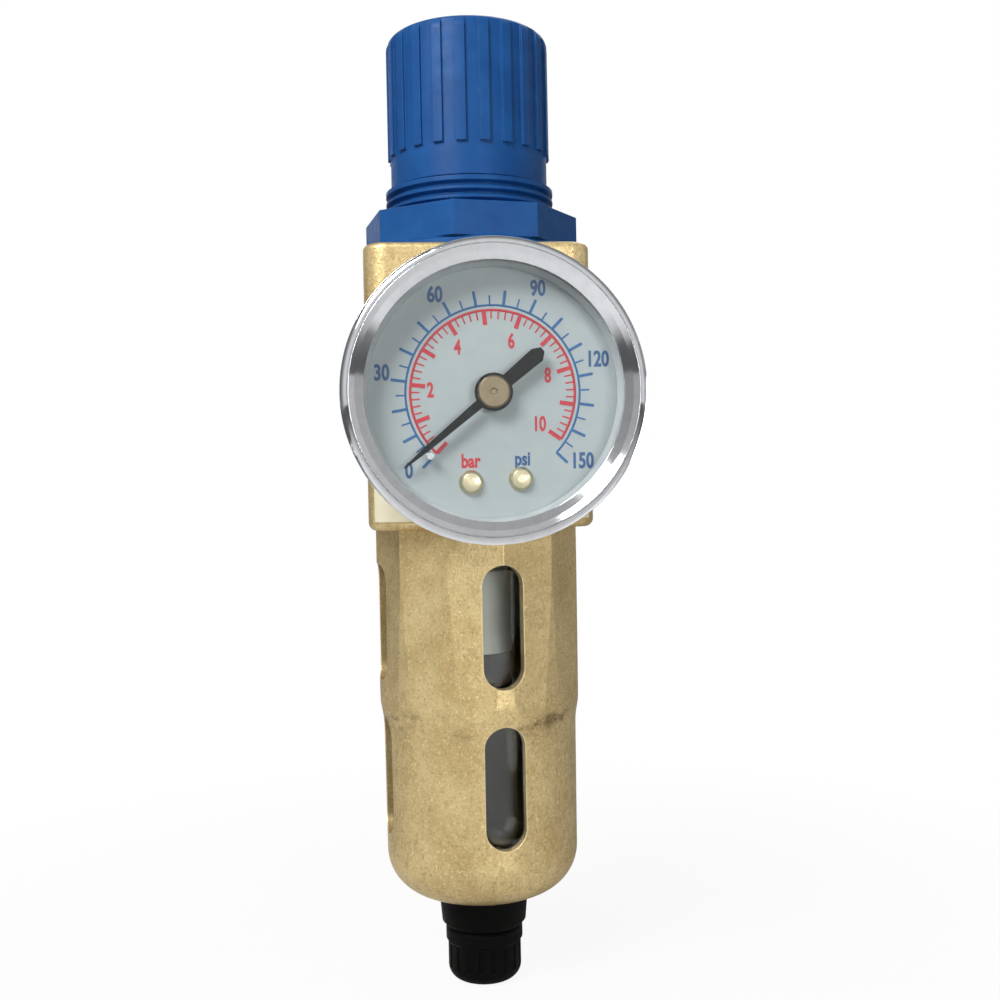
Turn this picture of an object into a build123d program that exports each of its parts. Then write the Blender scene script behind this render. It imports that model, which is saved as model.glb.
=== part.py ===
"""Compact filter regulator for compressed air: ribbed adjusting knob, threaded
bonnet, square cast body, back-mounted pressure gauge, and a clear bowl inside a
slotted metal guard with a drain at its foot.

Millimetres. The origin is where the port axis (X), the gauge axis (Y) and the
vertical axis (Z) of the body cross. The gauge faces -Y, the outlet is on +X.
"""

from build123d import *
import math
import os

os.makedirs("parts", exist_ok=True)

# Driving dimensions
body_width = 38.0  # square body, side to side
body_top = 27.0  # height of the body's top face above the port axis
body_bottom = -20.7  # height of the body's bottom face
body_corner = 4.0  # radius of the body's upright edges
thread_radius = 15.0  # M30 x 1.5 panel thread on the bonnet
thread_pitch = 1.5
nut_flats = 35.5  # across the flats of the bonnet's octagon
knob_radius = 14.0  # smooth part of the knob
knob_top = 66.5
knob_bottom = 39.4
guard_foot = -86.5  # flat underside of the bowl guard
drain_foot = -102.8  # lowest point of the drain knob
bezel_radius = 21.8  # 40 mm gauge with a 43.6 mm bezel
bezel_front = 50.0  # distance of the bezel's front from the vertical axis
port_radius = 5.72  # G 1/4 tapping size
gauge_port_radius = 4.28  # G 1/8 tapping size
guard_turn = 10.5  # the guard and the bonnet stop this far round when tight

# Fits
running = 0.05  # radial gap of a shaft in its hole
seat = 0.1  # gap between pieces that meet but don't move
half = body_width / 2


def write_piece(block, name):
    block.part.label = name
    export_step(block.part, f"parts/{name}.step")


def section(points, plane=Plane.XZ):
    """A closed section of (radius, height) points. In XZ it is turned about Z. In XY
    it is turned about Y, with the front of the gauge at negative heights."""
    with BuildSketch(plane) as outline:
        with BuildLine():
            Polyline(*points, close=True)
        make_face()
    return outline.sketch


def turned_block(points):
    with BuildPart() as block:
        revolve(section(points), axis=Axis.Z)
    return block


def gauge_turned_block(points):
    with BuildPart() as block:
        revolve(section(points, Plane.XY), axis=Axis.Y)
    return block


def ring_block(ring_radius, cord_radius, height):
    """A round-section seal ring lying level at a height on the vertical axis."""
    with BuildPart() as block:
        with BuildSketch(Plane.XZ):
            with Locations((ring_radius, height)):
                Circle(cord_radius)
        revolve(axis=Axis.Z)
    return block


def coil_block(coil_radius, wire_radius, low, high, turns):
    """A helical compression spring, with room for its wire at both ends."""
    start = low + wire_radius
    rise = high - low - 2 * wire_radius
    with BuildPart() as block:
        with BuildLine():
            Helix(rise / turns, rise, coil_radius, center=(0, 0, start))
        with BuildSketch(Plane((coil_radius, 0, start), x_dir=(1, 0, 0), z_dir=(0, 1, 0))):
            Circle(wire_radius)
        sweep(is_frenet=True)
    return block


# Body: ports, valve seat and the skirt that carries the guard
spigot_radius = 15.7
spigot_end = -24.0
recess_radius = 13.45
recess_top = -9.0
bonnet_bore = 15.8
diaphragm_ledge = 14.0
chamber_floor = 9.0
seat_face = 5.0
valve_bore = 6.0
orifice_radius = 2.8
port_depth = 11.0

with BuildPart() as body:
    with BuildSketch(Plane.XY.offset(body_bottom)):
        RectangleRounded(body_width, body_width, body_corner)
    extrude(amount=body_top - body_bottom)
    rims = body.faces().sort_by(Axis.Z)
    fillet(rims[-1].outer_wire().edges(), 1.0)
    fillet(body.faces().sort_by(Axis.Z)[0].outer_wire().edges(), 1.4)
    with BuildSketch(Plane.XY.offset(spigot_end)):
        Circle(spigot_radius)
    extrude(amount=body_bottom - spigot_end + 1)
    with BuildSketch(Plane.XY.offset(body_top)):
        Circle(bonnet_bore)
    extrude(amount=diaphragm_ledge - body_top, mode=Mode.SUBTRACT)
    with BuildSketch(Plane.XY.offset(diaphragm_ledge)):
        Circle(11.6)
    extrude(amount=chamber_floor - diaphragm_ledge, mode=Mode.SUBTRACT)
    with BuildSketch(Plane.XY.offset(chamber_floor)):
        Circle(orifice_radius)
    extrude(amount=seat_face - chamber_floor, mode=Mode.SUBTRACT)
    with BuildSketch(Plane.XY.offset(seat_face)):
        Circle(valve_bore)
    extrude(amount=recess_top - seat_face, mode=Mode.SUBTRACT)
    with BuildSketch(Plane.XY.offset(recess_top)):
        Circle(recess_radius)
    extrude(amount=spigot_end - recess_top, mode=Mode.SUBTRACT)
    for side in (-1, 1):
        with BuildSketch(Plane((side * half, 0, 0), z_dir=(-side, 0, 0))):
            Circle(port_radius)
        extrude(amount=port_depth, mode=Mode.SUBTRACT)
        with BuildSketch(Plane((side * half, 0, 0), z_dir=(-side, 0, 0))):
            Circle(7.4)
        extrude(amount=0.6, mode=Mode.SUBTRACT)
    for side in (-1, 1):
        with BuildSketch(Plane((0, side * half, 0), z_dir=(0, -side, 0))):
            Circle(gauge_port_radius)
        extrude(amount=8.0, mode=Mode.SUBTRACT)
    # Inlet air drops to the bowl, regulated air leaves the chamber above the seat
    with BuildSketch(Plane.XY.offset(recess_top - 1)):
        with Locations((-10.8, 0)):
            Circle(2.4)
    extrude(amount=8, mode=Mode.SUBTRACT)
    with BuildSketch(Plane.XY.offset(chamber_floor + 1)):
        with Locations((9.4, 0)):
            Circle(2.0)
        with Locations((0, -10.2), (0, 10.2)):
            Circle(1.1)
    extrude(amount=-8, mode=Mode.SUBTRACT)
write_piece(body, "body")

# Bare label on the lower front, wrapped a little way round the corners
label_low = body_bottom + 1.5
label_high = -11.0
label_gap = 0.02
label_skin = 0.15
label_inner = body_width + 2 * label_gap
label_outer = label_inner + 2 * label_skin
with BuildPart() as label_plate:
    with BuildSketch(Plane.XY.offset(label_low)):
        RectangleRounded(label_outer, label_outer, body_corner + label_gap + label_skin)
        RectangleRounded(label_inner, label_inner, body_corner + label_gap, mode=Mode.SUBTRACT)
        with Locations((0, -half)):
            Rectangle(35.8, 7.0, mode=Mode.INTERSECT)
    extrude(amount=label_high - label_low)
write_piece(label_plate, "label_plate")

# Hexagon-socket plug in the spare gauge port at the back
with BuildPart() as rear_plug:
    with BuildSketch(Plane.XZ.offset(-half - 0.9)):
        Circle(6.6)
    extrude(amount=0.8)
    with BuildSketch(Plane.XZ.offset(-half - 0.15)):
        Circle(gauge_port_radius - running)
    extrude(amount=7.0)
    chamfer(rear_plug.faces().sort_by(Axis.Y)[-1].outer_wire().edges(), 0.35)
    with BuildSketch(Plane.XZ.offset(-half - 1)):
        RegularPolygon(2.9, 6)
    extrude(amount=4.5, mode=Mode.SUBTRACT)
write_piece(rear_plug, "rear_plug")

# Bonnet: octagon with a flared lip, panel thread, spring housing
nut_low = 28.8
nut_high = 34.0
thread_top = 39.0
neck_radius = 11.9
neck_top = 55.0
spring_bore = 9.6
bonnet_floor = 15.9

bonnet_section = section(
    [
        (0, bonnet_floor),
        (bonnet_bore - seat, bonnet_floor),
        (bonnet_bore - seat, body_top + 0.02),
        (18.75, body_top + 0.02),
        (18.75, body_top + 0.7),
        (17.4, nut_low),
        (thread_radius - 0.9, nut_low),
        (thread_radius - 0.9, nut_high),
        (thread_radius, nut_high),
        (thread_radius, thread_top),
        (neck_radius, thread_top),
        (neck_radius, neck_top - 1),
        (neck_radius - 1, neck_top),
        (0, neck_top),
    ]
)
with BuildPart() as bonnet:
    revolve(bonnet_section, axis=Axis.Z)
    with BuildSketch(Plane.XY.offset(nut_low - 0.6)):
        RegularPolygon(nut_flats / 2, 8, major_radius=False, rotation=22.5 + guard_turn)
    extrude(amount=nut_high - nut_low + 0.6)
    # Thread grooves as closed rings, one for each pitch
    for turn in range(3):
        root = thread_top - 0.55 - thread_pitch * (turn + 0.5)
        groove = section(
            [
                (thread_radius + 0.2, root + 0.62),
                (thread_radius - 0.85, root + 0.12),
                (thread_radius - 0.85, root - 0.12),
                (thread_radius + 0.2, root - 0.62),
            ]
        )
        revolve(groove, axis=Axis.Z, mode=Mode.SUBTRACT)
    with BuildSketch(Plane.XY.offset(bonnet_floor)):
        Circle(spring_bore)
    extrude(amount=50.0 - bonnet_floor, mode=Mode.SUBTRACT)
    with BuildSketch(Plane.XY.offset(bonnet_floor)):
        Circle(12.5)
    extrude(amount=1.8, mode=Mode.SUBTRACT)
    with BuildSketch(Plane.XY.offset(49)):
        Circle(4.0 + running)
    extrude(amount=7, mode=Mode.SUBTRACT)
    # Two keyways that stop the spring nut from turning
    with BuildSketch(Plane.XY.offset(34)):
        with PolarLocations(spring_bore, 2, start_angle=90):
            Rectangle(2.4, 3.0)
    extrude(amount=16, mode=Mode.SUBTRACT)
write_piece(bonnet, "bonnet")

# Adjusting knob: rounded top, upright ribs, open skirt
rib_count = 22
rib_width = 1.75
rib_height = 0.5
rib_low = 45.0
knob_round = 2.2
skirt_bore = 12.2

with BuildPart() as knob:
    with BuildSketch(Plane.XY.offset(knob_bottom)):
        Circle(knob_radius)
    extrude(amount=knob_top - knob_bottom)
    with BuildSketch(Plane.XY.offset(rib_low)):
        with PolarLocations(knob_radius, rib_count):
            Rectangle(2 * rib_height, rib_width)
    extrude(amount=knob_top - rib_low)
    # The top is trimmed by a rounded outline, so that the ribs run out into it
    crown = knob_radius + rib_height
    with BuildSketch(Plane.XZ):
        with BuildLine():
            Line((0, knob_bottom - 1), (crown + 1, knob_bottom - 1))
            Line((crown + 1, knob_bottom - 1), (crown + 1, rib_low))
            Line((crown + 1, rib_low), (crown, rib_low + 0.4))
            Line((crown, rib_low + 0.4), (crown, knob_top - knob_round))
            RadiusArc(
                (crown, knob_top - knob_round), (crown - knob_round, knob_top), -knob_round
            )
            Line((crown - knob_round, knob_top), (0, knob_top))
            Line((0, knob_top), (0, knob_bottom - 1))
        make_face()
    revolve(axis=Axis.Z, mode=Mode.INTERSECT)
    with BuildSketch(Plane.XY.offset(knob_bottom - 1)):
        Circle(skirt_bore)
    extrude(amount=56.2 - knob_bottom + 1, mode=Mode.SUBTRACT)
    with BuildSketch(Plane.XY.offset(50)):
        RegularPolygon(3.5 + running, 6, major_radius=False)
    extrude(amount=13.2, mode=Mode.SUBTRACT)
write_piece(knob, "adjusting_knob")

# Adjusting screw: hexagon head in the knob, plain shank where the thread is
screw_radius = 4.0
with BuildPart() as screw:
    with BuildSketch(Plane.XY.offset(24)):
        Circle(screw_radius)
    extrude(amount=55.2 - 24)
    with BuildSketch(Plane.XY.offset(55.2)):
        RegularPolygon(3.5, 6, major_radius=False)
    extrude(amount=4.8)
    with BuildSketch(Plane.XY.offset(48.4)):
        Circle(6.2)
    extrude(amount=1.5)
    chamfer(screw.faces().sort_by(Axis.Z)[0].outer_wire().edges(), 0.8)
write_piece(screw, "adjusting_screw")

# Spring nut: rides on the screw and slides on two keys
nut_bottom = 41.6
with BuildPart() as spring_nut:
    with BuildSketch(Plane.XY.offset(nut_bottom)):
        Circle(9.2)
        with PolarLocations(9.2, 2, start_angle=90):
            Rectangle(1.9, 2.4)
    extrude(amount=2.0)
    with BuildSketch(Plane.XY.offset(nut_bottom - 2.5)):
        Circle(5.6)
    extrude(amount=8.8)
    with BuildSketch(Plane.XY.offset(nut_bottom - 3)):
        Circle(screw_radius + running)
    extrude(amount=10, mode=Mode.SUBTRACT)
write_piece(spring_nut, "spring_nut")

# Regulating spring between the nut and the diaphragm plate
plate_top = 16.9
write_piece(coil_block(7.4, 1.0, plate_top + seat, nut_bottom - seat, 5), "regulating_spring")

# Diaphragm with one rolled convolution, clamped at its rim
hub_radius = 2.4
with BuildPart() as diaphragm:
    with BuildSketch(Plane.XZ):
        with BuildLine():
            Line((hub_radius + seat, 14.05), (9.6, 14.05))
            RadiusArc((9.6, 14.05), (11.4, 14.05), 1.1)
            Line((11.4, 14.05), (14.8, 14.05))
            Line((14.8, 14.05), (14.8, 15.15))
            Line((14.8, 15.15), (12.2, 15.15))
            RadiusArc((12.2, 15.15), (8.8, 15.15), -2.2)
            Line((8.8, 15.15), (hub_radius + seat, 15.15))
            Line((hub_radius + seat, 15.15), (hub_radius + seat, 14.05))
        make_face()
    revolve(axis=Axis.Z)
write_piece(diaphragm, "diaphragm")

write_piece(
    turned_block([(12.6, 15.25), (14.8, 15.25), (14.8, 15.8), (12.6, 15.8)]), "slip_ring"
)

# Diaphragm plate that the spring stands on, and the relief hub that joins them
write_piece(
    turned_block(
        [
            (hub_radius + seat, 15.25),
            (8.4, 15.25),
            (8.9, 15.7),
            (8.9, plate_top),
            (6.1, plate_top),
            (5.6, plate_top + 1.6),
            (hub_radius + seat, plate_top + 1.6),
        ]
    ),
    "diaphragm_plate",
)
write_piece(
    turned_block(
        [
            (0.9, 12.7),
            (5.2, 12.7),
            (5.2, 13.9),
            (hub_radius, 13.9),
            (hub_radius, plate_top + 1.8),
            (3.6, plate_top + 1.8),
            (3.6, plate_top + 2.4),
            (0.9, plate_top + 2.4),
        ]
    ),
    "relief_hub",
)

# Valve: stem with its push pin, rubber disc under the seat, closing spring
stem_radius = 2.0
write_piece(
    turned_block(
        [
            (0, -8.2),
            (stem_radius, -8.2),
            (stem_radius, 1.9),
            (4.2, 1.9),
            (4.2, 3.3),
            (1.5, 3.3),
            (1.5, 5.4),
            (1.2, 5.8),
            (1.2, 12.1),
            (0.6, 12.6),
            (0, 12.6),
        ]
    ),
    "valve_stem",
)
write_piece(
    turned_block([(1.5 + running, 3.4), (4.1, 3.4), (4.1, 4.9), (1.5 + running, 4.9)]),
    "valve_disc",
)
write_piece(coil_block(3.1, 0.35, -3.9, 1.8, 5), "valve_spring")

# Valve guide: closes the valve bore from below and carries the filter
stud_radius = 3.0
stud_end = -46.0
guide_section = section(
    [
        (0, stud_end),
        (stud_radius - 0.4, stud_end),
        (stud_radius, stud_end + 0.4),
        (stud_radius, -10.8),
        (8.0, -10.8),
        (8.0, recess_top - seat),
        (valve_bore - seat, recess_top - seat),
        (valve_bore - seat, -4.0),
        (0, -4.0),
    ]
)
with BuildPart() as valve_guide:
    revolve(guide_section, axis=Axis.Z)
    with BuildSketch(Plane.XY.offset(-4)):
        Circle(stem_radius + running)
    extrude(amount=-6.2, mode=Mode.SUBTRACT)
    with BuildSketch(Plane.XY.offset(-3)):
        with PolarLocations(4.4, 6):
            Circle(0.9)
    extrude(amount=-9, mode=Mode.SUBTRACT)
write_piece(valve_guide, "valve_guide")

# Swirl plate: louvres round its rim set the incoming air spinning
swirl_bore = stud_radius + seat
swirl_section = section([(swirl_bore, -12.4), (13.2, -12.4), (13.2, -10.9), (swirl_bore, -10.9)])
with BuildPart() as swirl_plate:
    revolve(swirl_section, axis=Axis.Z)
    with BuildSketch(Plane.XY.offset(-13)):
        with PolarLocations(3.9, 6):
            Circle(0.6)
    extrude(amount=3, mode=Mode.SUBTRACT)
    with BuildSketch(Plane.XY.offset(-12.5)):
        with PolarLocations(12.2, 12):
            Rectangle(2.6, 1.8, rotation=28)
    extrude(amount=2, mode=Mode.SUBTRACT)
write_piece(swirl_plate, "swirl_plate")

# Filter element, a sintered tube, and the capped nut that holds it up
element_radius = 6.0
element_bore = 3.6
element_foot = -43.4
write_piece(
    turned_block(
        [
            (element_bore, element_foot),
            (element_radius, element_foot),
            (element_radius, -12.5),
            (element_bore, -12.5),
        ]
    ),
    "filter_element",
)
write_piece(
    turned_block(
        [
            (0, -52.0),
            (element_radius - 1.2, -52.0),
            (element_radius, -50.8),
            (element_radius, element_foot - seat),
            (stud_radius + seat, element_foot - seat),
            (stud_radius + seat, stud_end - 0.3),
            (0, stud_end - 0.3),
        ]
    ),
    "baffle",
)

# Clear bowl with a flange at its mouth and a drain boss at its foot
bowl_radius = 14.6
bowl_wall = 1.8
bowl_floor = -84.0
boss_radius = 6.2
neck_bore = 11.8
with BuildPart() as bowl:
    with BuildSketch(Plane.XZ):
        with BuildLine():
            inner = bowl_radius - bowl_wall
            Line((neck_bore, -20.0), (recess_radius - seat, -20.0))
            Line((recess_radius - seat, -20.0), (recess_radius - seat, spigot_end - seat))
            Line((recess_radius - seat, spigot_end - seat), (spigot_radius - 0.1, spigot_end - seat))
            Line((spigot_radius - 0.1, spigot_end - seat), (spigot_radius - 0.1, -25.6))
            Line((spigot_radius - 0.1, -25.6), (bowl_radius, -25.6))
            Line((bowl_radius, -25.6), (bowl_radius, bowl_floor + 8))
            RadiusArc((bowl_radius, bowl_floor + 8), (bowl_radius - 8, bowl_floor), 8)
            Line((bowl_radius - 8, bowl_floor), (boss_radius, bowl_floor))
            Line((boss_radius, bowl_floor), (boss_radius, -88.1))
            Line((boss_radius, -88.1), (2.2, -88.1))
            Line((2.2, -88.1), (2.2, bowl_floor + bowl_wall))
            Line((2.2, bowl_floor + bowl_wall), (inner - 6.5, bowl_floor + bowl_wall))
            RadiusArc((inner - 6.5, bowl_floor + bowl_wall), (inner, bowl_floor + bowl_wall + 6.5), -6.5)
            Line((inner, bowl_floor + bowl_wall + 6.5), (inner, -28.2))
            Line((inner, -28.2), (neck_bore, -26.8))
            Line((neck_bore, -26.8), (neck_bore, -20.0))
        make_face()
    revolve(axis=Axis.Z)
    # Seal groove round the neck
    with BuildSketch(Plane.XZ):
        with Locations((recess_radius - 0.4, -22.2)):
            Rectangle(1.0, 1.5)
    revolve(axis=Axis.Z, mode=Mode.SUBTRACT)
write_piece(bowl, "bowl")
write_piece(
    turned_block([(12.6, -22.85), (13.42, -22.85), (13.42, -21.55), (12.6, -21.55)]), "bowl_seal"
)

# Bowl guard: twelve drafted flats above, round below, eight windows
guard_neck = 18.5  # radius at the mouth
guard_waist = 18.0  # radius where the flats end
guard_lower = 17.35  # round lower part, under the shoulder
guard_apothem = 17.75
flats_low = -50.8
shoulder_low = -56.2
foot_round = 8.0
window_width = 7.1
window_rows = ((-26.9, -47.9), (-54.3, -75.3))  # top and bottom of each row
shell_radius = 15.3
foot_inner = -84.3

with BuildPart() as guard:
    with BuildSketch(Plane.XZ):
        with BuildLine():
            Line((0, body_bottom - 0.05), (guard_neck, body_bottom - 0.05))
            Line((guard_neck, body_bottom - 0.05), (guard_waist, flats_low))
            Spline(
                (guard_waist, flats_low),
                (guard_lower, shoulder_low),
                tangents=((-0.02, -1), (-0.01, -1)),
            )
            Line((guard_lower, shoulder_low), (guard_lower - 0.15, guard_foot + foot_round))
            RadiusArc(
                (guard_lower - 0.15, guard_foot + foot_round),
                (guard_lower - 0.15 - foot_round, guard_foot),
                foot_round,
            )
            Line((guard_lower - 0.15 - foot_round, guard_foot), (0, guard_foot))
            Line((0, guard_foot), (0, body_bottom - 0.05))
        make_face()
    revolve(axis=Axis.Z)
    with BuildSketch(Plane.XY.offset(guard_foot - 1)):
        RegularPolygon(guard_apothem, 12, major_radius=False, rotation=guard_turn)
    extrude(amount=body_bottom - guard_foot + 2, mode=Mode.INTERSECT)
    with BuildSketch(Plane.XZ):
        with BuildLine():
            Line((0, body_bottom + 1), (spigot_radius + seat, body_bottom + 1))
            Line((spigot_radius + seat, body_bottom + 1), (spigot_radius + seat, -25.7))
            Line((spigot_radius + seat, -25.7), (shell_radius, -25.7))
            Line((shell_radius, -25.7), (shell_radius, foot_inner + 7.9))
            RadiusArc((shell_radius, foot_inner + 7.9), (shell_radius - 7.9, foot_inner), 7.9)
            Line((shell_radius - 7.9, foot_inner), (boss_radius + 0.3, foot_inner))
            Line((boss_radius + 0.3, foot_inner), (boss_radius + 0.3, guard_foot - 1))
            Line((boss_radius + 0.3, guard_foot - 1), (0, guard_foot - 1))
            Line((0, guard_foot - 1), (0, body_bottom + 1))
        make_face()
    revolve(axis=Axis.Z, mode=Mode.SUBTRACT)
    for top, bottom in window_rows:
        for window in range(4):
            outward = guard_turn - 90 + 90 * window
            direction = (math.cos(math.radians(outward)), math.sin(math.radians(outward)), 0)
            side = (-math.sin(math.radians(outward)), math.cos(math.radians(outward)), 0)
            with BuildSketch(Plane((0, 0, (top + bottom) / 2), x_dir=side, z_dir=direction)):
                SlotOverall(top - bottom, window_width, rotation=90)
            extrude(amount=25, mode=Mode.SUBTRACT)
write_piece(guard, "bowl_guard")

# Drain: collar under the guard, hand knob, valve stem and its seal
collar_low = -92.8
write_piece(
    turned_block(
        [
            (boss_radius + running, guard_foot - seat),
            (8.1, guard_foot - seat),
            (7.6, collar_low + 0.6),
            (7.0, collar_low),
            (3.6, collar_low),
            (3.6, -88.3),
            (boss_radius + running, -88.3),
        ]
    ),
    "drain_collar",
)

drain_radius = 6.6
drain_rim = 6.95
groove_count = 18
with BuildPart() as drain_knob:
    with BuildSketch(Plane.XZ):
        with BuildLine():
            Line((0, -100.2), (0, drain_foot))
            Line((0, drain_foot), (drain_radius - 2.4, drain_foot))
            RadiusArc(
                (drain_radius - 2.4, drain_foot), (drain_radius, drain_foot + 2.4), -2.4
            )
            Line((drain_radius, drain_foot + 2.4), (drain_radius, -95.9))
            Line((drain_radius, -95.9), (drain_rim, -95.5))
            Line((drain_rim, -95.5), (drain_rim, collar_low - 0.8))
            Line((drain_rim, collar_low - 0.8), (drain_rim - 0.5, collar_low - 0.3))
            Line((drain_rim - 0.5, collar_low - 0.3), (3.4, collar_low - 0.3))
            Line((3.4, collar_low - 0.3), (3.4, -88.7))
            Line((3.4, -88.7), (2.0, -88.7))
            Line((2.0, -88.7), (2.0, -100.2))
            Line((2.0, -100.2), (0, -100.2))
        make_face()
    revolve(axis=Axis.Z)
    with BuildSketch(Plane.XY.offset(-96.2)):
        with PolarLocations(drain_radius + 0.15, groove_count):
            Circle(0.45)
    extrude(amount=-4.2, mode=Mode.SUBTRACT)
write_piece(drain_knob, "drain_knob")

write_piece(
    turned_block(
        [
            (0, -98.6),
            (1.9, -98.6),
            (1.9, bowl_floor + bowl_wall + 1.1),
            (3.6, bowl_floor + bowl_wall + 1.1),
            (3.6, bowl_floor + bowl_wall + 2.4),
            (0, bowl_floor + bowl_wall + 2.4),
        ]
    ),
    "drain_stem",
)
write_piece(ring_block(2.75, 0.5, bowl_floor + bowl_wall + 0.53), "drain_seal")

# Gauge socket: thread in the body, square for the spanner, block in the case
case_back = 25.4
with BuildPart() as gauge_socket:
    with BuildSketch(Plane.XZ.offset(half - 6.6)):
        Circle(gauge_port_radius - running)
    extrude(amount=8.2)
    with BuildSketch(Plane.XZ.offset(20.5)):
        RectangleRounded(11, 11, 0.8)
    extrude(amount=case_back - 20.5)
    with BuildSketch(Plane.XZ.offset(case_back - 0.5)):
        Circle(3.8)
    extrude(amount=4.0)
    with BuildSketch(Plane.XZ.offset(case_back + 1.2)):
        Rectangle(9, 9)
    extrude(amount=5.3)
    # Arm from the block to the fixed end of the pressure tube
    with BuildSketch(Plane.XZ.offset(28.5)):
        with Locations((9.4, 0)):
            Rectangle(12, 4)
    extrude(amount=3.4)
    with BuildSketch(Plane.XZ.offset(31.9)):
        with Locations((14.1, 0)):
            Rectangle(2.6, 4)
    extrude(amount=1.0)
    with BuildSketch(Plane.XZ.offset(half - 7)):
        Circle(1.2)
    extrude(amount=16, mode=Mode.SUBTRACT)
write_piece(gauge_socket, "gauge_socket")
write_piece(
    gauge_turned_block([(4.4, -19.1), (6.2, -19.1), (6.2, -20.4), (4.4, -20.4)]), "socket_seal"
)

# Gauge case: a drawn steel cup with a hole for the socket
case_radius = 20.0
case_mouth = 45.0
write_piece(
    gauge_turned_block(
        [
            (4.0, -case_back),
            (case_radius - 2, -case_back),
            (case_radius, -case_back - 2),
            (case_radius, -case_mouth),
            (case_radius - 0.8, -case_mouth),
            (case_radius - 0.8, -case_back - 2.2),
            (case_radius - 2.2, -case_back - 0.8),
            (4.0, -case_back - 0.8),
        ]
    ),
    "gauge_case",
)

# Bezel: rolled over the case behind, rounded at the front, with a step to the window
with BuildPart() as bezel:
    with BuildSketch(Plane.XY):
        with BuildLine():
            Line((case_radius + 0.1, -41.5), (bezel_radius - 0.4, -41.5))
            RadiusArc((bezel_radius - 0.4, -41.5), (bezel_radius, -41.9), -0.4)
            Line((bezel_radius, -41.9), (bezel_radius, -48.8))
            RadiusArc((bezel_radius, -48.8), (bezel_radius - 1.2, -bezel_front), -1.2)
            Line((bezel_radius - 1.2, -bezel_front), (19.7, -49.5))
            Line((19.7, -49.5), (18.5, -48.95))
            Line((18.5, -48.95), (18.5, -48.6))
            Line((18.5, -48.6), (case_radius + 0.1, -48.6))
            Line((case_radius + 0.1, -48.6), (case_radius + 0.1, -41.5))
        make_face()
    revolve(axis=Axis.Y)
write_piece(bezel, "gauge_bezel")

write_piece(
    gauge_turned_block(
        [
            (0, -48.5),
            (19.9, -48.5),
            (19.9, -46.9),
            (19.0, -46.9),
            (19.0, -47.3),
            (0, -47.3),
        ]
    ),
    "gauge_window",
)
write_piece(
    gauge_turned_block(
        [
            (18.1, -44.6),
            (19.1, -44.6),
            (19.1, -45.1),
            (19.95, -45.1),
            (19.95, -46.8),
            (18.6, -46.8),
        ]
    ),
    "spacer_ring",
)

# Dial, held by two round-headed screws
dial_back = 44.0
dial_front = 44.5
dial_screw_places = ((-3.4, -12.85), (3.8, -12.5))
with BuildPart() as dial:
    with BuildSketch(Plane.XZ.offset(dial_back)):
        Circle(19.0)
        Circle(1.3, mode=Mode.SUBTRACT)
        with Locations(*dial_screw_places):
            Circle(0.9, mode=Mode.SUBTRACT)
    extrude(amount=dial_front - dial_back)
write_piece(dial, "gauge_dial")

dial_screws = Part() + [
    Pos(across, 0, up)
    * revolve(
        make_face(
            Plane.XY
            * Polyline(
                (0, -40.5),
                (0.8, -40.5),
                (0.8, -dial_front - 0.03),
                (1.75, -dial_front - 0.03),
                (1.75, -dial_front - 0.35),
                (1.3, -dial_front - 0.95),
                (0.6, -dial_front - 1.15),
                (0, -dial_front - 1.15),
                (0, -40.5),
            )
        ),
        Axis.Y,
    )
    for across, up in dial_screw_places
]
dial_screws.label = "dial_screws"
export_step(dial_screws, "parts/dial_screws.step")

# Pointer at rest, about 40 degrees below level on the left, and the pin beside it
zero_angle = 219.4
pointer_back = 45.9
zero_way = (math.cos(math.radians(zero_angle)), 0, math.sin(math.radians(zero_angle)))
with BuildPart() as pointer:
    with BuildSketch(Plane((0, -pointer_back, 0), x_dir=zero_way, z_dir=(0, -1, 0))):
        with BuildLine():
            Polyline(
                (0, 0.75), (12.5, 0.42), (16.8, 0.12), (16.8, -0.12), (12.5, -0.42), (0, -0.75), close=True
            )
        make_face()
        with BuildLine():
            Polyline(
                (0, 0.9), (-8.3, 1.15), (-9.3, 0.3), (-9.3, -0.5), (-8.1, -1.15), (0, -0.9), close=True
            )
        make_face()
        Circle(2.75)
    extrude(amount=0.4)
write_piece(pointer, "pointer")

write_piece(
    gauge_turned_block(
        [
            (0, -36.5),
            (0.8, -36.5),
            (0.8, -pointer_back + 0.1),
            (1.0, -pointer_back + 0.1),
            (1.0, -pointer_back + 0.02),
            (0, -pointer_back + 0.02),
        ]),
    "pointer_arbor",
)
write_piece(
    gauge_turned_block(
        [
            (0, -46.35),
            (2.35, -46.35),
            (2.35, -46.75),
            (2.1, -46.95),
            (0.5, -46.95),
            (0.4, -46.8),
            (0, -46.8),
        ]
    ),
    "pointer_cap",
)

# The pin stands just past zero, on the low side of the pointer
pin_angle = math.radians(zero_angle + 4.9)
stop_radius = 12.9
pin_side = stop_radius * math.cos(pin_angle)
pin_drop = stop_radius * math.sin(pin_angle)
with BuildPart() as stop_pin:
    with BuildSketch(Plane((pin_side, -dial_front - 0.03, pin_drop), z_dir=(0, -1, 0))):
        Circle(0.55)
    extrude(amount=1.9)
write_piece(stop_pin, "stop_pin")

# Gauge movement: curved pressure tube and the frame that bears the arbor
with BuildPart() as pressure_tube:
    with BuildSketch(Plane.XY):
        with Locations((14.2, -35.5)):
            RectangleRounded(1.6, 5.0, 0.7)
    revolve(axis=Axis.Y, revolution_arc=250)
write_piece(pressure_tube, "pressure_tube")

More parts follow.
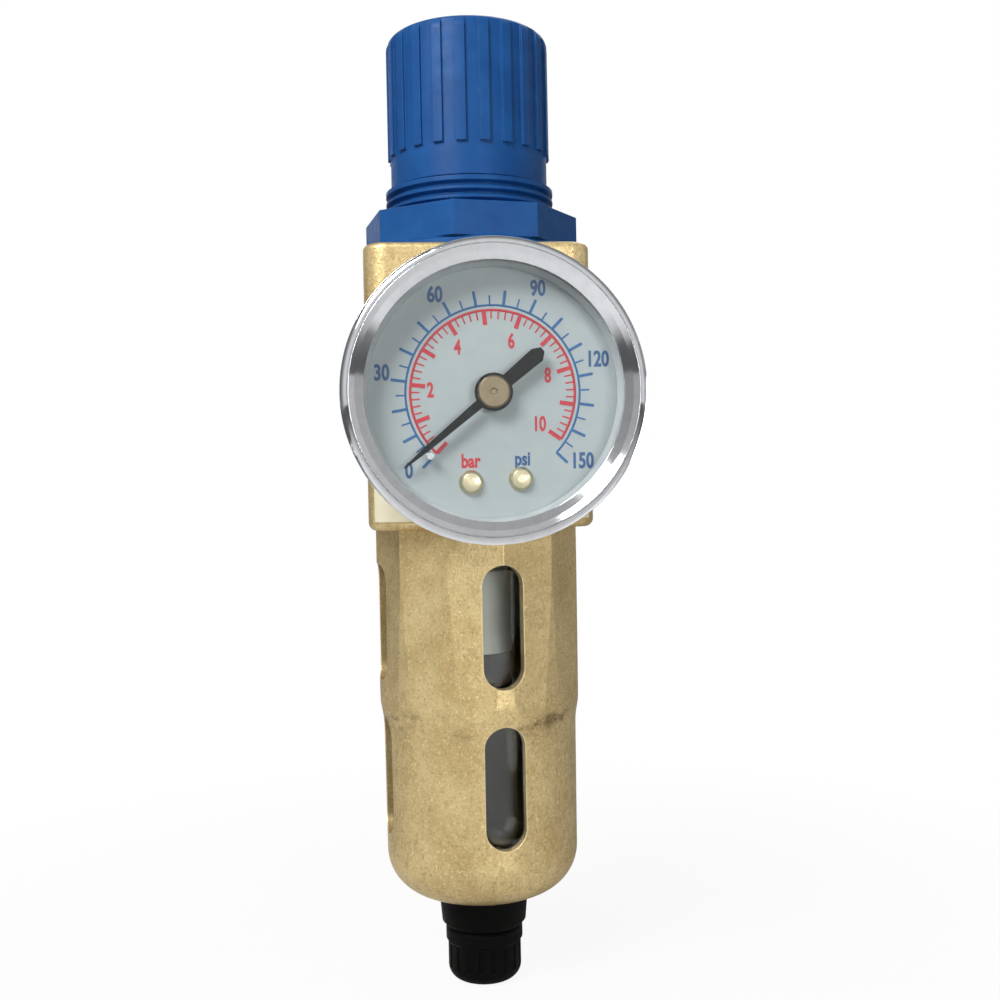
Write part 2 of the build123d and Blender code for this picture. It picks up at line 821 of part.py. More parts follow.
with BuildPart() as movement_frame:
    for depth in (32.0, 39.0):
        with BuildSketch(Plane.XZ.offset(depth)):
            SlotOverall(18, 9)
            Circle(0.8 + running, mode=Mode.SUBTRACT)
        extrude(amount=1.0)
    with BuildSketch(Plane.XZ.offset(32.5)):
        with Locations((-6.4, 0), (6.4, 0)):
            Circle(1.1)
    extrude(amount=7.0)
write_piece(movement_frame, "movement_frame")
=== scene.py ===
import math

import bmesh
import bpy
from mathutils import Matrix, Vector


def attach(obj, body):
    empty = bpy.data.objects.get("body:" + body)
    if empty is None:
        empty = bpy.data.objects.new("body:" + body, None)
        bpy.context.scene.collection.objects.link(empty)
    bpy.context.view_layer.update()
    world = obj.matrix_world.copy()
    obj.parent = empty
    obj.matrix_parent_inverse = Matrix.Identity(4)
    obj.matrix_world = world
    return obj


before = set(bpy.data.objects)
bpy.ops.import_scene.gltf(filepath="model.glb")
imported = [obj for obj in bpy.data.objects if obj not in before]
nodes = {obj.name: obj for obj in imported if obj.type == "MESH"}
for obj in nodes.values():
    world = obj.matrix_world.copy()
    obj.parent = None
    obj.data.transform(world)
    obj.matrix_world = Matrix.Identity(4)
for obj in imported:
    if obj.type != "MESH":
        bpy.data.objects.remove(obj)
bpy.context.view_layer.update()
mm = 0.001
print("frame loaded:", len(nodes), "solids")


cameraView = {
    "focalPixels": 1200.0,  # for a picture 1000 wide
    "distance": 0.218,  # from the upright axis
    "height": -0.0126,
    "azimuth": 3.6,  # degrees to the inlet side
    "panRight": 24.4,  # pixels from the axis to the middle of the picture
    "panUp": -20.0,
    "roll": 1.16,
}


def placeCamera(view):
    turn = math.radians(view["azimuth"])
    ahead = Vector((math.sin(turn), math.cos(turn), 0))
    side = Vector((math.cos(turn), -math.sin(turn), 0))
    place = -ahead * view["distance"] + Vector((0, 0, view["height"]))
    look = ahead + side * view["panRight"] / view["focalPixels"]
    look = (look + Vector((0, 0, 1)) * view["panUp"] / view["focalPixels"]).normalized()
    right = look.cross(Vector((0, 0, 1))).normalized()
    up = right.cross(look)
    roll = math.radians(view["roll"])
    rolledRight = right * math.cos(roll) - up * math.sin(roll)
    rolledUp = up * math.cos(roll) + right * math.sin(roll)
    data = bpy.data.cameras.new("camera")
    data.sensor_width = 36.0
    data.lens = view["focalPixels"] / 1000 * data.sensor_width
    data.clip_start = 0.01
    camera = bpy.data.objects.new("camera", data)
    bpy.context.scene.collection.objects.link(camera)
    turnMatrix = Matrix((rolledRight, rolledUp, -look)).transposed().to_4x4()
    camera.matrix_world = Matrix.Translation(place) @ turnMatrix
    bpy.context.scene.camera = camera


placeCamera(cameraView)
print("camera placed")


def newTree(name):
    material = bpy.data.materials.new(name)
    material.use_nodes = True
    return material, material.node_tree


def addNode(tree, kind, inputs=None, **settings):
    node = tree.nodes.new(kind)
    for key, value in settings.items():
        setattr(node, key, value)
    for key, value in (inputs or {}).items():
        if isinstance(value, bpy.types.NodeSocket):
            tree.links.new(value, node.inputs[key])
        else:
            node.inputs[key].default_value = value
    return node


def linear(color):
    parts = [c / 255 for c in color]
    return [p / 12.92 if p <= 0.04045 else ((p + 0.055) / 1.055) ** 2.4 for p in parts] + [1.0]


def objectPoint(tree):
    return addNode(tree, "ShaderNodeTexCoord").outputs["Object"]


def noise(tree, point, scale, detail=3.0, roughness=0.5):
    inputs = {"Vector": point, "Scale": scale, "Detail": detail, "Roughness": roughness}
    return addNode(tree, "ShaderNodeTexNoise", inputs).outputs["Fac"]


def stretched(tree, point, scale):
    return addNode(tree, "ShaderNodeMapping", {"Vector": point, "Scale": scale}).outputs[0]


def maths(tree, operation, first, second=0.0, third=0.0, clamp=False):
    inputs = {0: first, 1: second, 2: third}
    return addNode(tree, "ShaderNodeMath", inputs, operation=operation, use_clamp=clamp).outputs[0]


def spread(tree, value, low, high, toLow=0.0, toHigh=1.0):
    inputs = {"Value": value, "From Min": low, "From Max": high, "To Min": toLow, "To Max": toHigh}
    return addNode(tree, "ShaderNodeMapRange", inputs, clamp=True).outputs[0]


def mixColor(tree, factor, first, second, blend="MIX"):
    node = addNode(tree, "ShaderNodeMix", data_type="RGBA", blend_type=blend)
    for index, value in ((0, factor), (6, first), (7, second)):
        if isinstance(value, bpy.types.NodeSocket):
            tree.links.new(value, node.inputs[index])
        else:
            node.inputs[index].default_value = value
    return node.outputs[2]


def bumpNormal(tree, height, strength, distance, below=None):
    inputs = {"Height": height, "Strength": strength, "Distance": distance}
    if below is not None:
        inputs["Normal"] = below
    return addNode(tree, "ShaderNodeBump", inputs).outputs["Normal"]


def softEdge(tree, radius):
    return addNode(tree, "ShaderNodeBevel", {"Radius": radius}, samples=6).outputs[0]


def edgeMask(tree, radius, low=0.0, high=0.25):
    rounded = addNode(tree, "ShaderNodeBevel", {"Radius": radius}, samples=6).outputs[0]
    plain = addNode(tree, "ShaderNodeNewGeometry").outputs["True Normal"]
    inputs = {0: rounded, 1: plain}
    same = addNode(tree, "ShaderNodeVectorMath", inputs, operation="DOT_PRODUCT").outputs["Value"]
    return spread(tree, maths(tree, "SUBTRACT", 1.0, same), low, high)


# Gives a solid its finish in place of the plain one it came with
def dress(node, material):
    for slot in nodes[node].material_slots:
        slot.material = material
    if not nodes[node].material_slots:
        nodes[node].data.materials.append(material)


castGoldLook = {
    "light": (226, 203, 148),
    "main": (208, 182, 127),
    "shade": (176, 148, 98),
    "pit": (126, 100, 62),
    "speck": (250, 236, 190),
    "smudge": (92, 70, 40),
    "rim": (248, 234, 194),  # painted highlight along the rounded edges
    "inside": (48, 42, 29),  # painted shade on the guard's inner wall
    "sand": 2300.0,  # cast grain, per metre
    "roughness": 0.40,
    "metal": 0.78,
}


def castGold(name, look, bandHeight=None, inner=None):
    material, tree = newTree(name)
    shader = tree.nodes["Principled BSDF"]
    point = objectPoint(tree)
    parts = addNode(tree, "ShaderNodeSeparateXYZ", {0: point}).outputs
    cloud = noise(tree, point, 130.0, 3.0, 0.6)
    drift = noise(tree, stretched(tree, point, (1, 1, 0.8)), 760.0, 4.0, 0.7)
    sand = noise(tree, point, look["sand"], 3.0, 0.7)
    base = mixColor(tree, spread(tree, cloud, 0.36, 0.64), linear(look["main"]), linear(look["light"]))
    base = mixColor(tree, spread(tree, drift, 0.48, 0.68, 0, 0.5), base, linear(look["shade"]))
    base = mixColor(tree, spread(tree, sand, 0.56, 0.68, 0, 0.75), base, linear(look["speck"]))
    base = mixColor(tree, spread(tree, sand, 0.43, 0.30, 0, 0.6), base, linear(look["pit"]))
    dirtMask = spread(tree, noise(tree, point, 1900.0, 5.0, 0.8), 0.64, 0.76, 0, 0.6)
    if bandHeight is not None:
        # the step under the flats holds dirt in patches
        away = maths(tree, "ABSOLUTE", maths(tree, "SUBTRACT", parts[2], bandHeight))
        band = spread(tree, away, 0.0, 0.0034, 1, 0)
        patch = noise(tree, stretched(tree, point, (1, 1, 1.6)), 170.0, 4.0, 0.7)
        patch = spread(tree, patch, 0.52, 0.66)
        dirtMask = maths(tree, "MAXIMUM", dirtMask, maths(tree, "MULTIPLY", band, patch))
    base = mixColor(tree, maths(tree, "MULTIPLY", dirtMask, 0.8), base, linear(look["smudge"]))
    # painted highlight: the rounded edges are lightened as if catching the light
    edge = edgeMask(tree, 0.00045, 0.02, 0.25)
    base = mixColor(tree, maths(tree, "MULTIPLY", edge, 0.8), base, linear(look["rim"]))
    # painted shade: the guard's inner wall is darkened
    if inner is not None:
        # distance from the middle of the foot's rounding, which also follows the straight wall
        flat = addNode(tree, "ShaderNodeCombineXYZ", {0: parts[0], 1: parts[1]}).outputs[0]
        out = addNode(tree, "ShaderNodeVectorMath", {0: flat}, operation="LENGTH").outputs["Value"]
        out = maths(tree, "SUBTRACT", out, inner["radius"])
        down = maths(tree, "MINIMUM", maths(tree, "SUBTRACT", parts[2], inner["height"]), 0.0)
        pair = addNode(tree, "ShaderNodeCombineXYZ", {0: out, 1: down}).outputs[0]
        away = addNode(tree, "ShaderNodeVectorMath", {0: pair}, operation="LENGTH").outputs["Value"]
        wall = maths(tree, "LESS_THAN", away, inner["reach"])
        base = mixColor(tree, wall, base, linear(look["inside"]))
    tree.links.new(base, shader.inputs["Base Color"])
    rough = spread(tree, sand, 0.3, 0.7, look["roughness"] + 0.12, look["roughness"] - 0.1)
    tree.links.new(rough, shader.inputs["Roughness"])
    shader.inputs["Metallic"].default_value = look["metal"]
    normal = bumpNormal(tree, drift, 0.22, 0.0002, softEdge(tree, 0.0003))
    normal = bumpNormal(tree, sand, 0.6, 0.00012, normal)
    tree.links.new(normal, shader.inputs["Normal"])
    return material


def threadedPorts(material, reach, radius, pitch):
    tree = material.node_tree
    shader = tree.nodes["Principled BSDF"]
    parts = addNode(tree, "ShaderNodeSeparateXYZ", {0: objectPoint(tree)})
    x, y, z = parts.outputs[0], parts.outputs[1], parts.outputs[2]
    squares = maths(tree, "ADD", maths(tree, "MULTIPLY", y, y), maths(tree, "MULTIPLY", z, z))
    out = maths(tree, "SQRT", squares)
    inside = maths(tree, "LESS_THAN", out, radius)
    inside = maths(tree, "MULTIPLY", inside, maths(tree, "GREATER_THAN", maths(tree, "ABSOLUTE", x), reach))
    angle = maths(tree, "DIVIDE", maths(tree, "ARCTAN2", z, y), 2 * math.pi)
    wave = maths(tree, "PINGPONG", maths(tree, "ADD", maths(tree, "DIVIDE", x, pitch), angle), 0.5)
    depth = maths(tree, "MULTIPLY", maths(tree, "MULTIPLY", wave, 2.0), inside)
    below = shader.inputs["Normal"].links[0].from_socket
    tree.links.new(bumpNormal(tree, depth, 1.0, 0.0007, below), shader.inputs["Normal"])
    base = shader.inputs["Base Color"].links[0].from_socket
    # painted shade: the thread roots are darkened more than the crests
    shade = maths(tree, "MULTIPLY", inside, spread(tree, wave, 0.0, 0.5, 0.75, 0.15))
    tree.links.new(mixColor(tree, shade, base, linear((92, 78, 50))), shader.inputs["Base Color"])
    return material


plasticLook = {
    "blue": {
        "main": (24, 84, 148), "dark": (17, 73, 135), "worn": (60, 114, 174),
        "roughness": 0.42, "shine": 0.2,
    },
    "black": {
        "main": (13, 13, 12), "dark": (8, 8, 8), "worn": (34, 33, 31),
        "roughness": 0.5, "shine": 0.06,
    },
    "white": {
        "main": (214, 217, 218), "dark": (190, 194, 196), "worn": (230, 232, 232),
        "roughness": 0.5, "shine": 0.4,
    },
}


def mouldedPlastic(name, look):
    material, tree = newTree(name)
    shader = tree.nodes["Principled BSDF"]
    point = objectPoint(tree)
    cloud = noise(tree, point, 190.0, 3.0, 0.55)
    base = mixColor(tree, spread(tree, cloud, 0.35, 0.7), linear(look["dark"]), linear(look["main"]))
    streak = noise(tree, stretched(tree, point, (1, 1, 0.12)), 1500.0, 4.0, 0.7)
    base = mixColor(tree, spread(tree, streak, 0.62, 0.82, 0, 0.22), base, linear(look["worn"]))
    edge = edgeMask(tree, 0.00025, 0.03, 0.35)
    base = mixColor(tree, maths(tree, "MULTIPLY", edge, 0.45), base, linear(look["worn"]))
    tree.links.new(base, shader.inputs["Base Color"])
    handled = noise(tree, point, 520.0, 5.0, 0.65)
    rough = spread(tree, handled, 0.3, 0.7, look["roughness"] - 0.07, look["roughness"] + 0.12)
    shader.inputs["Specular IOR Level"].default_value = look["shine"]
    tree.links.new(rough, shader.inputs["Roughness"])
    fine = noise(tree, point, 4200.0, 2.0, 0.5)
    normal = bumpNormal(tree, fine, 0.22, 0.00003, softEdge(tree, 0.00022))
    tree.links.new(normal, shader.inputs["Normal"])
    return material


metalLook = {
    "chrome": {"color": (214, 216, 219), "tint": (190, 193, 198), "roughness": 0.07, "lines": 0.02},
    "steel": {"color": (186, 187, 190), "tint": (150, 152, 156), "roughness": 0.24, "lines": 0.10},
    "wire": {"color": (118, 121, 126), "tint": (92, 95, 100), "roughness": 0.3, "lines": 0.08},
    "aluminium": {"color": (200, 201, 203), "tint": (168, 170, 172), "roughness": 0.3, "lines": 0.12},
    "brass": {"color": (205, 172, 98), "tint": (158, 124, 62), "roughness": 0.24, "lines": 0.10},
    "paleBrass": {"color": (214, 202, 168), "tint": (172, 156, 120), "roughness": 0.22, "lines": 0.06},
    "agedBrass": {"color": (112, 100, 80), "tint": (82, 72, 56), "roughness": 0.42, "lines": 0.06},
}


def turnedMetal(name, look, around="Z"):
    material, tree = newTree(name)
    shader = tree.nodes["Principled BSDF"]
    point = objectPoint(tree)
    scale = {"Z": (0.02, 0.02, 1), "Y": (0.02, 1, 0.02)}[around]
    lines = noise(tree, stretched(tree, point, scale), 9000.0, 3.0, 0.6)
    spots = noise(tree, point, 650.0, 6.0, 0.7)
    stain = spread(tree, spots, 0.45, 0.78, 0, 0.6)
    base = mixColor(tree, stain, linear(look["color"]), linear(look["tint"]))
    tree.links.new(base, shader.inputs["Base Color"])
    low, high = look["roughness"], look["roughness"] + look["lines"]
    rough = spread(tree, maths(tree, "ADD", lines, spots), 0.8, 1.3, low, high)
    tree.links.new(rough, shader.inputs["Roughness"])
    shader.inputs["Metallic"].default_value = 1.0
    normal = bumpNormal(tree, lines, look["lines"], 0.00002, softEdge(tree, 0.00015))
    tree.links.new(normal, shader.inputs["Normal"])
    return material


clearLook = {
    "window": {"color": (250, 252, 252), "ior": 1.49, "haze": 0.0},
    "bowl": {"color": (250, 252, 248), "ior": 1.50, "haze": 0.02},
}


def clearPlastic(name, look):
    material, tree = newTree(name)
    shader = tree.nodes["Principled BSDF"]
    shader.inputs["Base Color"].default_value = linear(look["color"])
    shader.inputs["Transmission Weight"].default_value = 1.0
    shader.inputs["IOR"].default_value = look["ior"]
    point = objectPoint(tree)
    film = noise(tree, point, 380.0, 5.0, 0.7)
    rough = spread(tree, film, 0.45, 0.8, look["haze"], look["haze"] + 0.05)
    tree.links.new(rough, shader.inputs["Roughness"])
    path = addNode(tree, "ShaderNodeLightPath")
    passing = maths(tree, "MAXIMUM", path.outputs["Is Shadow Ray"], path.outputs["Is Diffuse Ray"])
    through = addNode(tree, "ShaderNodeBsdfTransparent", {"Color": linear(look["color"])})
    mix = addNode(tree, "ShaderNodeMixShader", {0: passing, 1: shader.outputs[0], 2: through.outputs[0]})
    output = tree.nodes["Material Output"]
    tree.links.new(mix.outputs[0], output.inputs["Surface"])
    return material


paintLook = {
    "dial": {"main": (183, 190, 191), "dark": (175, 183, 185), "roughness": 0.55},
    "pointer": {"main": (11, 11, 12), "dark": (8, 8, 9), "roughness": 0.5, "shine": 0.1},
    "blueInk": {"main": (38, 104, 160), "dark": (30, 88, 142), "roughness": 0.5},
    "numeralInk": {"main": (42, 90, 140), "dark": (34, 78, 126), "roughness": 0.5},
    "redInk": {"main": (206, 50, 64), "dark": (190, 40, 54), "roughness": 0.5},
    "label": {"main": (250, 243, 214), "dark": (243, 235, 204), "roughness": 0.35},
    "element": {"main": (253, 253, 251), "dark": (248, 248, 246), "roughness": 0.8},
    "rubber": {"main": (24, 24, 24), "dark": (16, 16, 16), "roughness": 0.7},
}


def smoothPaint(name, look, grain=0.1):
    material, tree = newTree(name)
    shader = tree.nodes["Principled BSDF"]
    shader.inputs["Specular IOR Level"].default_value = look.get("shine", 0.4)
    point = objectPoint(tree)
    cloud = noise(tree, point, 300.0, 4.0, 0.6)
    base = mixColor(tree, spread(tree, cloud, 0.35, 0.7), linear(look["dark"]), linear(look["main"]))
    tree.links.new(base, shader.inputs["Base Color"])
    rough = spread(tree, cloud, 0.3, 0.7, look["roughness"] - 0.05, look["roughness"] + 0.08)
    tree.links.new(rough, shader.inputs["Roughness"])
    fine = noise(tree, point, 3600.0, 2.0, 0.5)
    tree.links.new(bumpNormal(tree, fine, grain, 0.00004), shader.inputs["Normal"])
    return material


finishes = {
    "body": threadedPorts(castGold("bodyGold", castGoldLook), 0.0125, 0.00585, 0.001337),
    "guard": castGold(
        "guardGold", castGoldLook, -0.0540, {"radius": 0.0092, "height": -0.0784, "reach": 0.0066}
    ),
    "blue": mouldedPlastic("bluePlastic", plasticLook["blue"]),
    "black": mouldedPlastic("blackPlastic", plasticLook["black"]),
    "white": mouldedPlastic("whitePlastic", plasticLook["white"]),
    "chrome": turnedMetal("chromePlate", metalLook["chrome"], "Y"),
    "steel": turnedMetal("platedSteel", metalLook["steel"]),
    "wire": turnedMetal("springWire", metalLook["wire"]),
    "aluminium": turnedMetal("turnedAluminium", metalLook["aluminium"]),
    "brass": turnedMetal("turnedBrass", metalLook["brass"], "Y"),
    "paleBrass": turnedMetal("paleBrass", metalLook["paleBrass"], "Y"),
    "agedBrass": turnedMetal("agedBrass", metalLook["agedBrass"], "Y"),
    "window": clearPlastic("windowPlastic", clearLook["window"]),
    "bowl": clearPlastic("bowlPlastic", clearLook["bowl"]),
    "dial": smoothPaint("dialPaint", paintLook["dial"]),
    "pointer": smoothPaint("pointerPaint", paintLook["pointer"]),
    "blueInk": smoothPaint("blueInk", paintLook["blueInk"]),
    "numeralInk": smoothPaint("numeralInk", paintLook["numeralInk"]),
    "redInk": smoothPaint("redInk", paintLook["redInk"]),
    "label": smoothPaint("labelFoil", paintLook["label"], 0.05),
    "element": smoothPaint("sinteredElement", paintLook["element"], 0.6),
    "rubber": smoothPaint("sealRubber", paintLook["rubber"], 0.3),
}
worn = {
    "body": ["body"],
    "guard": ["bowl_guard"],
    "blue": ["adjusting_knob", "bonnet"],
    "black": ["drain_collar", "drain_knob", "valve_guide", "swirl_plate", "baffle"],
    "white": ["slip_ring", "spacer_ring", "socket_seal"],
    "chrome": ["gauge_bezel", "gauge_case"],
    "steel": ["adjusting_screw", "rear_plug", "stop_pin", "pointer_arbor"],
    "wire": ["regulating_spring", "valve_spring"],
    "aluminium": ["diaphragm_plate"],
    "brass": [
        "drain_stem", "gauge_socket", "movement_frame", "pressure_tube",
        "relief_hub", "spring_nut", "valve_stem",
    ],
    "paleBrass": ["dial_screws"],
    "agedBrass": ["pointer_cap"],
    "window": ["gauge_window"],
    "bowl": ["bowl"],
    "dial": ["gauge_dial"],
    "pointer": ["pointer"],
    "label": ["label_plate"],
    "element": ["filter_element"],
    "rubber": ["bowl_seal", "diaphragm", "drain_seal", "valve_disc"],
}
for finish, names in worn.items():
    for name in names:
        dress(name, finishes[finish])
print("finishes on", sum(len(names) for names in worn.values()), "solids")


dialPrint = {
    "face": -0.0445,  # the dial's front, along Y
    "thickness": 0.00003,
    "zero": 224.0,  # clock angle of zero, in degrees
    "sweep": 270.0,  # for 150 psi
}


def asMesh(source, name):
    bpy.context.view_layer.update()
    evaluated = source.evaluated_get(bpy.context.evaluated_depsgraph_get())
    mesh = bpy.data.meshes.new_from_object(evaluated)
    piece = bpy.data.objects.new(name, mesh)
    bpy.context.scene.collection.objects.link(piece)
    bpy.data.objects.remove(source)
    return piece


def scaleTree():
    tree = bpy.data.node_groups.new("dialScale", "GeometryNodeTree")
    sockets = tree.interface
    for label, kind in (
        ("Marks", "NodeSocketInt"), ("Every", "NodeSocketInt"), ("Start", "NodeSocketFloat"),
        ("Step", "NodeSocketFloat"), ("Arc Radius", "NodeSocketFloat"), ("Minor End", "NodeSocketFloat"),
        ("Major End", "NodeSocketFloat"), ("Minor Width", "NodeSocketFloat"),
        ("Major Width", "NodeSocketFloat"), ("Line Width", "NodeSocketFloat"),
        ("Face", "NodeSocketFloat"), ("Thickness", "NodeSocketFloat"), ("Ink", "NodeSocketMaterial"),
    ):
        sockets.new_socket(label, in_out="INPUT", socket_type=kind)
    sockets.new_socket("Geometry", in_out="OUTPUT", socket_type="NodeSocketGeometry")
    given = tree.nodes.new("NodeGroupInput").outputs

    def marks(width, end, every):
        count = maths(tree, "ADD", maths(tree, "FLOOR", maths(tree, "DIVIDE", given["Marks"], every)), 1.0)
        index = addNode(tree, "GeometryNodeInputIndex").outputs[0]
        turn = maths(tree, "MULTIPLY", maths(tree, "MULTIPLY", index, every), given["Step"])
        angle = maths(tree, "ADD", given["Start"], turn)
        middle = maths(tree, "MULTIPLY", maths(tree, "ADD", given["Arc Radius"], end), 0.5)
        across = maths(tree, "MULTIPLY", middle, maths(tree, "SINE", angle))
        upward = maths(tree, "MULTIPLY", middle, maths(tree, "COSINE", angle))
        place = addNode(tree, "ShaderNodeCombineXYZ", {0: across, 1: given["Face"], 2: upward})
        points = addNode(tree, "GeometryNodePoints", {"Count": count, "Position": place.outputs[0]})
        length = maths(tree, "ABSOLUTE", maths(tree, "SUBTRACT", end, given["Arc Radius"]))
        # major marks stand a little prouder, so that they cover the minor ones
        proud = maths(tree, "MULTIPLY_ADD", every, 0.5, 1.0)
        thick = maths(tree, "MULTIPLY", given["Thickness"], proud)
        size = addNode(tree, "ShaderNodeCombineXYZ", {0: width, 1: thick, 2: length})
        bar = addNode(tree, "GeometryNodeMeshCube", {"Size": size.outputs[0]})
        tilt = addNode(tree, "ShaderNodeCombineXYZ", {1: angle})
        inputs = {"Points": points.outputs[0], "Instance": bar.outputs[0], "Rotation": tilt.outputs[0]}
        return addNode(tree, "GeometryNodeInstanceOnPoints", inputs).outputs[0]

    total = maths(tree, "MULTIPLY", given["Marks"], given["Step"])
    arc = addNode(tree, "GeometryNodeCurveArc", {
        "Resolution": 121, "Radius": given["Arc Radius"],
        "Start Angle": maths(tree, "SUBTRACT", math.pi / 2, given["Start"]),
        "Sweep Angle": maths(tree, "MULTIPLY", total, -1.0),
    })
    strip = addNode(tree, "GeometryNodeCurvePrimitiveQuadrilateral", {
        "Width": given["Line Width"], "Height": given["Thickness"],
    })
    line = addNode(tree, "GeometryNodeCurveToMesh", {
        "Curve": arc.outputs[0], "Profile Curve": strip.outputs[0], "Fill Caps": True,
    })
    lift = addNode(tree, "ShaderNodeCombineXYZ", {1: given["Face"]})
    stand = addNode(tree, "GeometryNodeTransform", {
        "Geometry": line.outputs[0], "Translation": lift.outputs[0], "Rotation": (math.pi / 2, 0, 0),
    })
    joined = addNode(tree, "GeometryNodeJoinGeometry")
    tree.links.new(stand.outputs[0], joined.inputs[0])
    tree.links.new(marks(given["Minor Width"], given["Minor End"], 1.0), joined.inputs[0])
    tree.links.new(marks(given["Major Width"], given["Major End"], given["Every"]), joined.inputs[0])
    real = addNode(tree, "GeometryNodeRealizeInstances", {0: joined.outputs[0]})
    inked = addNode(tree, "GeometryNodeSetMaterial", {"Geometry": real.outputs[0], "Material": given["Ink"]})
    out = tree.nodes.new("NodeGroupOutput")
    tree.links.new(inked.outputs[0], out.inputs[0])
    return tree


def grow(tree, name, values):
    holder = bpy.data.objects.new(name + "Holder", bpy.data.meshes.new(name))
    bpy.context.scene.collection.objects.link(holder)
    modifier = holder.modifiers.new("nodes", "NODES")
    modifier.node_group = tree
    for item in tree.interface.items_tree:
        if item.item_type == "SOCKET" and item.in_out == "INPUT" and item.name in values:
            modifier[item.identifier] = values[item.name]
    return asMesh(holder, name)


scales = {
    "psiScale": {
        "Marks": 30, "Every": 2, "Step": dialPrint["sweep"] / 30, "Arc Radius": 12.6 * mm,
        "Minor End": 14.0 * mm, "Major End": 14.8 * mm, "Minor Width": 0.24 * mm,
        "Major Width": 0.42 * mm, "Line Width": 0.3 * mm, "Ink": finishes["blueInk"],
    },
    "barScale": {
        "Marks": 50, "Every": 5, "Step": dialPrint["sweep"] * 145.04 / 150 / 50,
        "Arc Radius": 11.9 * mm, "Minor End": 10.6 * mm, "Major End": 9.8 * mm,
        "Minor Width": 0.22 * mm, "Major Width": 0.6 * mm, "Line Width": 0.36 * mm,
        "Ink": finishes["redInk"],
    },
}
printTree = scaleTree()
for name, values in scales.items():
    values = dict(values, Start=math.radians(dialPrint["zero"]), Step=math.radians(values["Step"]))
    values["Face"] = dialPrint["face"] - dialPrint["thickness"] / 2
    values["Thickness"] = dialPrint["thickness"]
    piece = grow(printTree, name, values)
    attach(piece, "housing")
print("scales printed")

numerals = {
    "psi": {
        "words": [
            ("0", -12.3, -10.9), ("30", -15.9, 3.2), ("60", -8.1, 14.3), ("90", 6.8, 15.1),
            ("120", 15.5, 4.8), ("150", 13.0, -9.9),
        ],
        "height": 2.28, "narrow": 0.72, "ink": "numeralInk",
    },
    "bar": {
        "words": [
            ("2", -9.0, 0.6), ("4", -5.0, 6.7), ("6", 2.8, 7.5), ("8", 8.0, 2.5), ("10", 6.8, -4.5),
        ],
        "height": 2.15, "narrow": 0.66, "ink": "redInk",
    },
    "barUnit": {"words": [("bar", -3.35, -9.7)], "height": 2.0, "narrow": 0.76, "ink": "redInk"},
    "psiUnit": {"words": [("psi", 4.1, -9.5)], "height": 2.0, "narrow": 0.76, "ink": "numeralInk"},
    "boldness": 0.034,  # of the letter height, on each side of a stroke
    "capital": 0.73,  # height of a figure in the font
}


def printWord(word, across, upward, group, look):
    curve = bpy.data.curves.new(group + word, "FONT")
    curve.body = word
    curve.extrude = 0.02
    curve.offset = numerals["boldness"]
    curve.resolution_u = 4
    source = bpy.data.objects.new(group + word + "Text", curve)
    bpy.context.scene.collection.objects.link(source)
    piece = asMesh(source, group + "Print" + word)
    xs = [vertex.co.x for vertex in piece.data.vertices]
    middle = Vector(((min(xs) + max(xs)) / 2, numerals["capital"] / 2, 0))
    size = look["height"] * mm / numerals["capital"]
    for vertex in piece.data.vertices:
        local = (vertex.co - middle) * size
        depth = dialPrint["face"] - (dialPrint["thickness"] if vertex.co.z > 0 else 0)
        vertex.co = (across * mm + local.x * look["narrow"], depth, upward * mm + local.y)
    piece.data.materials.clear()
    piece.data.materials.append(finishes[look["ink"]])
    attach(piece, "housing")


for group in ("psi", "bar", "barUnit", "psiUnit"):
    for word, across, upward in numerals[group]["words"]:
        printWord(word, across, upward, group, numerals[group])
print("numerals printed")


stageLook = {
    "floor": -0.1029,
    "aim": (0, 0, -0.015),
    "ambient": 0.12,
    "lamps": {  # azimuth to the right of the front, height angle, distance, size, power
        "key": {"azimuth": -36, "lift": 38, "distance": 0.50, "size": 0.20, "power": 2.1},
        "front": {"azimuth": 20, "lift": 4, "distance": 0.50, "size": 0.13, "power": 0.68},
        "back": {"azimuth": 160, "lift": 42, "distance": 0.80, "size": 0.40, "power": 1.0},
    },
}


def lamp(name, look):
    data = bpy.data.lights.new(name, "AREA")
    data.size = look["size"]
    data.energy = look["power"]
    piece = bpy.data.objects.new(name, data)
    bpy.context.scene.collection.objects.link(piece)
    turn, lift = math.radians(look["azimuth"]), math.radians(look["lift"])
    away = Vector((math.sin(turn) * math.cos(lift), -math.cos(turn) * math.cos(lift), math.sin(lift)))
    piece.location = Vector(stageLook["aim"]) + away * look["distance"]
    piece.rotation_euler = away.to_track_quat("Z", "Y").to_euler()


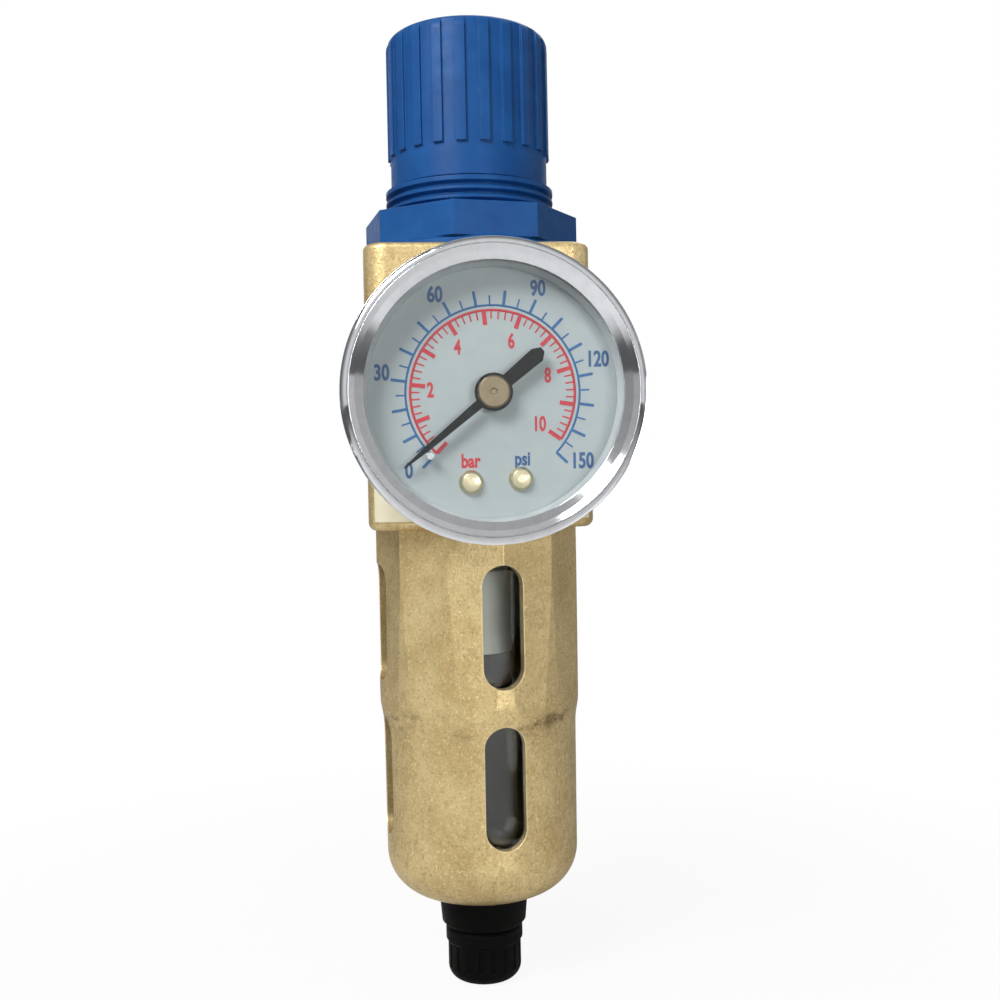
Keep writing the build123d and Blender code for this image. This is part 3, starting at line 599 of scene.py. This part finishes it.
def floorPlane():
    mesh = bpy.data.meshes.new("floor")
    shape = bmesh.new()
    bmesh.ops.create_grid(shape, x_segments=1, y_segments=1, size=6.0)
    bmesh.ops.translate(shape, verts=shape.verts, vec=(0, 0, stageLook["floor"]))
    shape.to_mesh(mesh)
    shape.free()
    piece = bpy.data.objects.new("floor", mesh)
    bpy.context.scene.collection.objects.link(piece)
    material, tree = newTree("paleFloor")
    shader = tree.nodes["Principled BSDF"]
    shader.inputs["Roughness"].default_value = 0.9
    shader.inputs["Specular IOR Level"].default_value = 0.1
    path = addNode(tree, "ShaderNodeLightPath").outputs
    seen = maths(tree, "MAXIMUM", path["Is Camera Ray"], path["Is Transmission Ray"])
    # a darker floor for diffuse rays keeps its bounce off the underside
    pale = maths(tree, "MAXIMUM", seen, path["Is Glossy Ray"])
    color = mixColor(tree, pale, (0.35, 0.35, 0.35, 1), (0.9, 0.9, 0.9, 1))
    tree.links.new(color, shader.inputs["Base Color"])
    glow = addNode(tree, "ShaderNodeEmission", {"Color": (1, 1, 1, 1), "Strength": 1.0})
    far = addNode(tree, "ShaderNodeVectorMath", {0: objectPoint(tree)}, operation="LENGTH").outputs["Value"]
    share = maths(tree, "MULTIPLY", seen, spread(tree, far, 0.108, 0.2, 0.92, 1.0))
    mix = addNode(tree, "ShaderNodeMixShader", {0: share, 1: shader.outputs[0], 2: glow.outputs[0]})
    tree.links.new(mix.outputs[0], tree.nodes["Material Output"].inputs["Surface"])
    mesh.materials.append(material)


# White to the camera, low for diffuse light, and a studio with a dim front and a
# dark band behind for polished metal to mirror
def paleWorld():
    world = bpy.data.worlds.new("studio")
    bpy.context.scene.world = world
    world.use_nodes = True
    tree = world.node_tree
    tree.nodes.clear()
    toward = addNode(tree, "ShaderNodeTexCoord").outputs["Generated"]
    parts = addNode(tree, "ShaderNodeSeparateXYZ", {0: toward}).outputs
    front = spread(tree, parts[1], -1.0, -0.4, 0.1, 1.0)
    away = maths(tree, "ABSOLUTE", maths(tree, "SUBTRACT", parts[1], 0.58))
    band = spread(tree, away, 0.08, 0.26, 0.12, 1.0)
    mirrored = maths(tree, "MULTIPLY", maths(tree, "MULTIPLY", front, band), 0.85)
    soft = addNode(tree, "ShaderNodeBackground", {"Strength": stageLook["ambient"]})
    shine = addNode(tree, "ShaderNodeBackground", {"Strength": mirrored})
    white = addNode(tree, "ShaderNodeBackground", {"Strength": 1.0})
    for background in (soft, shine, white):
        background.inputs["Color"].default_value = (1, 1, 1, 1)
    path = addNode(tree, "ShaderNodeLightPath").outputs
    mix = addNode(tree, "ShaderNodeMixShader", {
        0: path["Is Glossy Ray"], 1: soft.outputs[0], 2: shine.outputs[0],
    })
    seen = maths(tree, "MAXIMUM", path["Is Camera Ray"], path["Is Transmission Ray"])
    mix = addNode(tree, "ShaderNodeMixShader", {0: seen, 1: mix.outputs[0], 2: white.outputs[0]})
    out = addNode(tree, "ShaderNodeOutputWorld")
    tree.links.new(mix.outputs[0], out.inputs[0])


floorPlane()
paleWorld()
for name, look in stageLook["lamps"].items():
    lamp(name, look)
bpy.context.scene.view_settings.view_transform = "Standard"
print("stage lit")
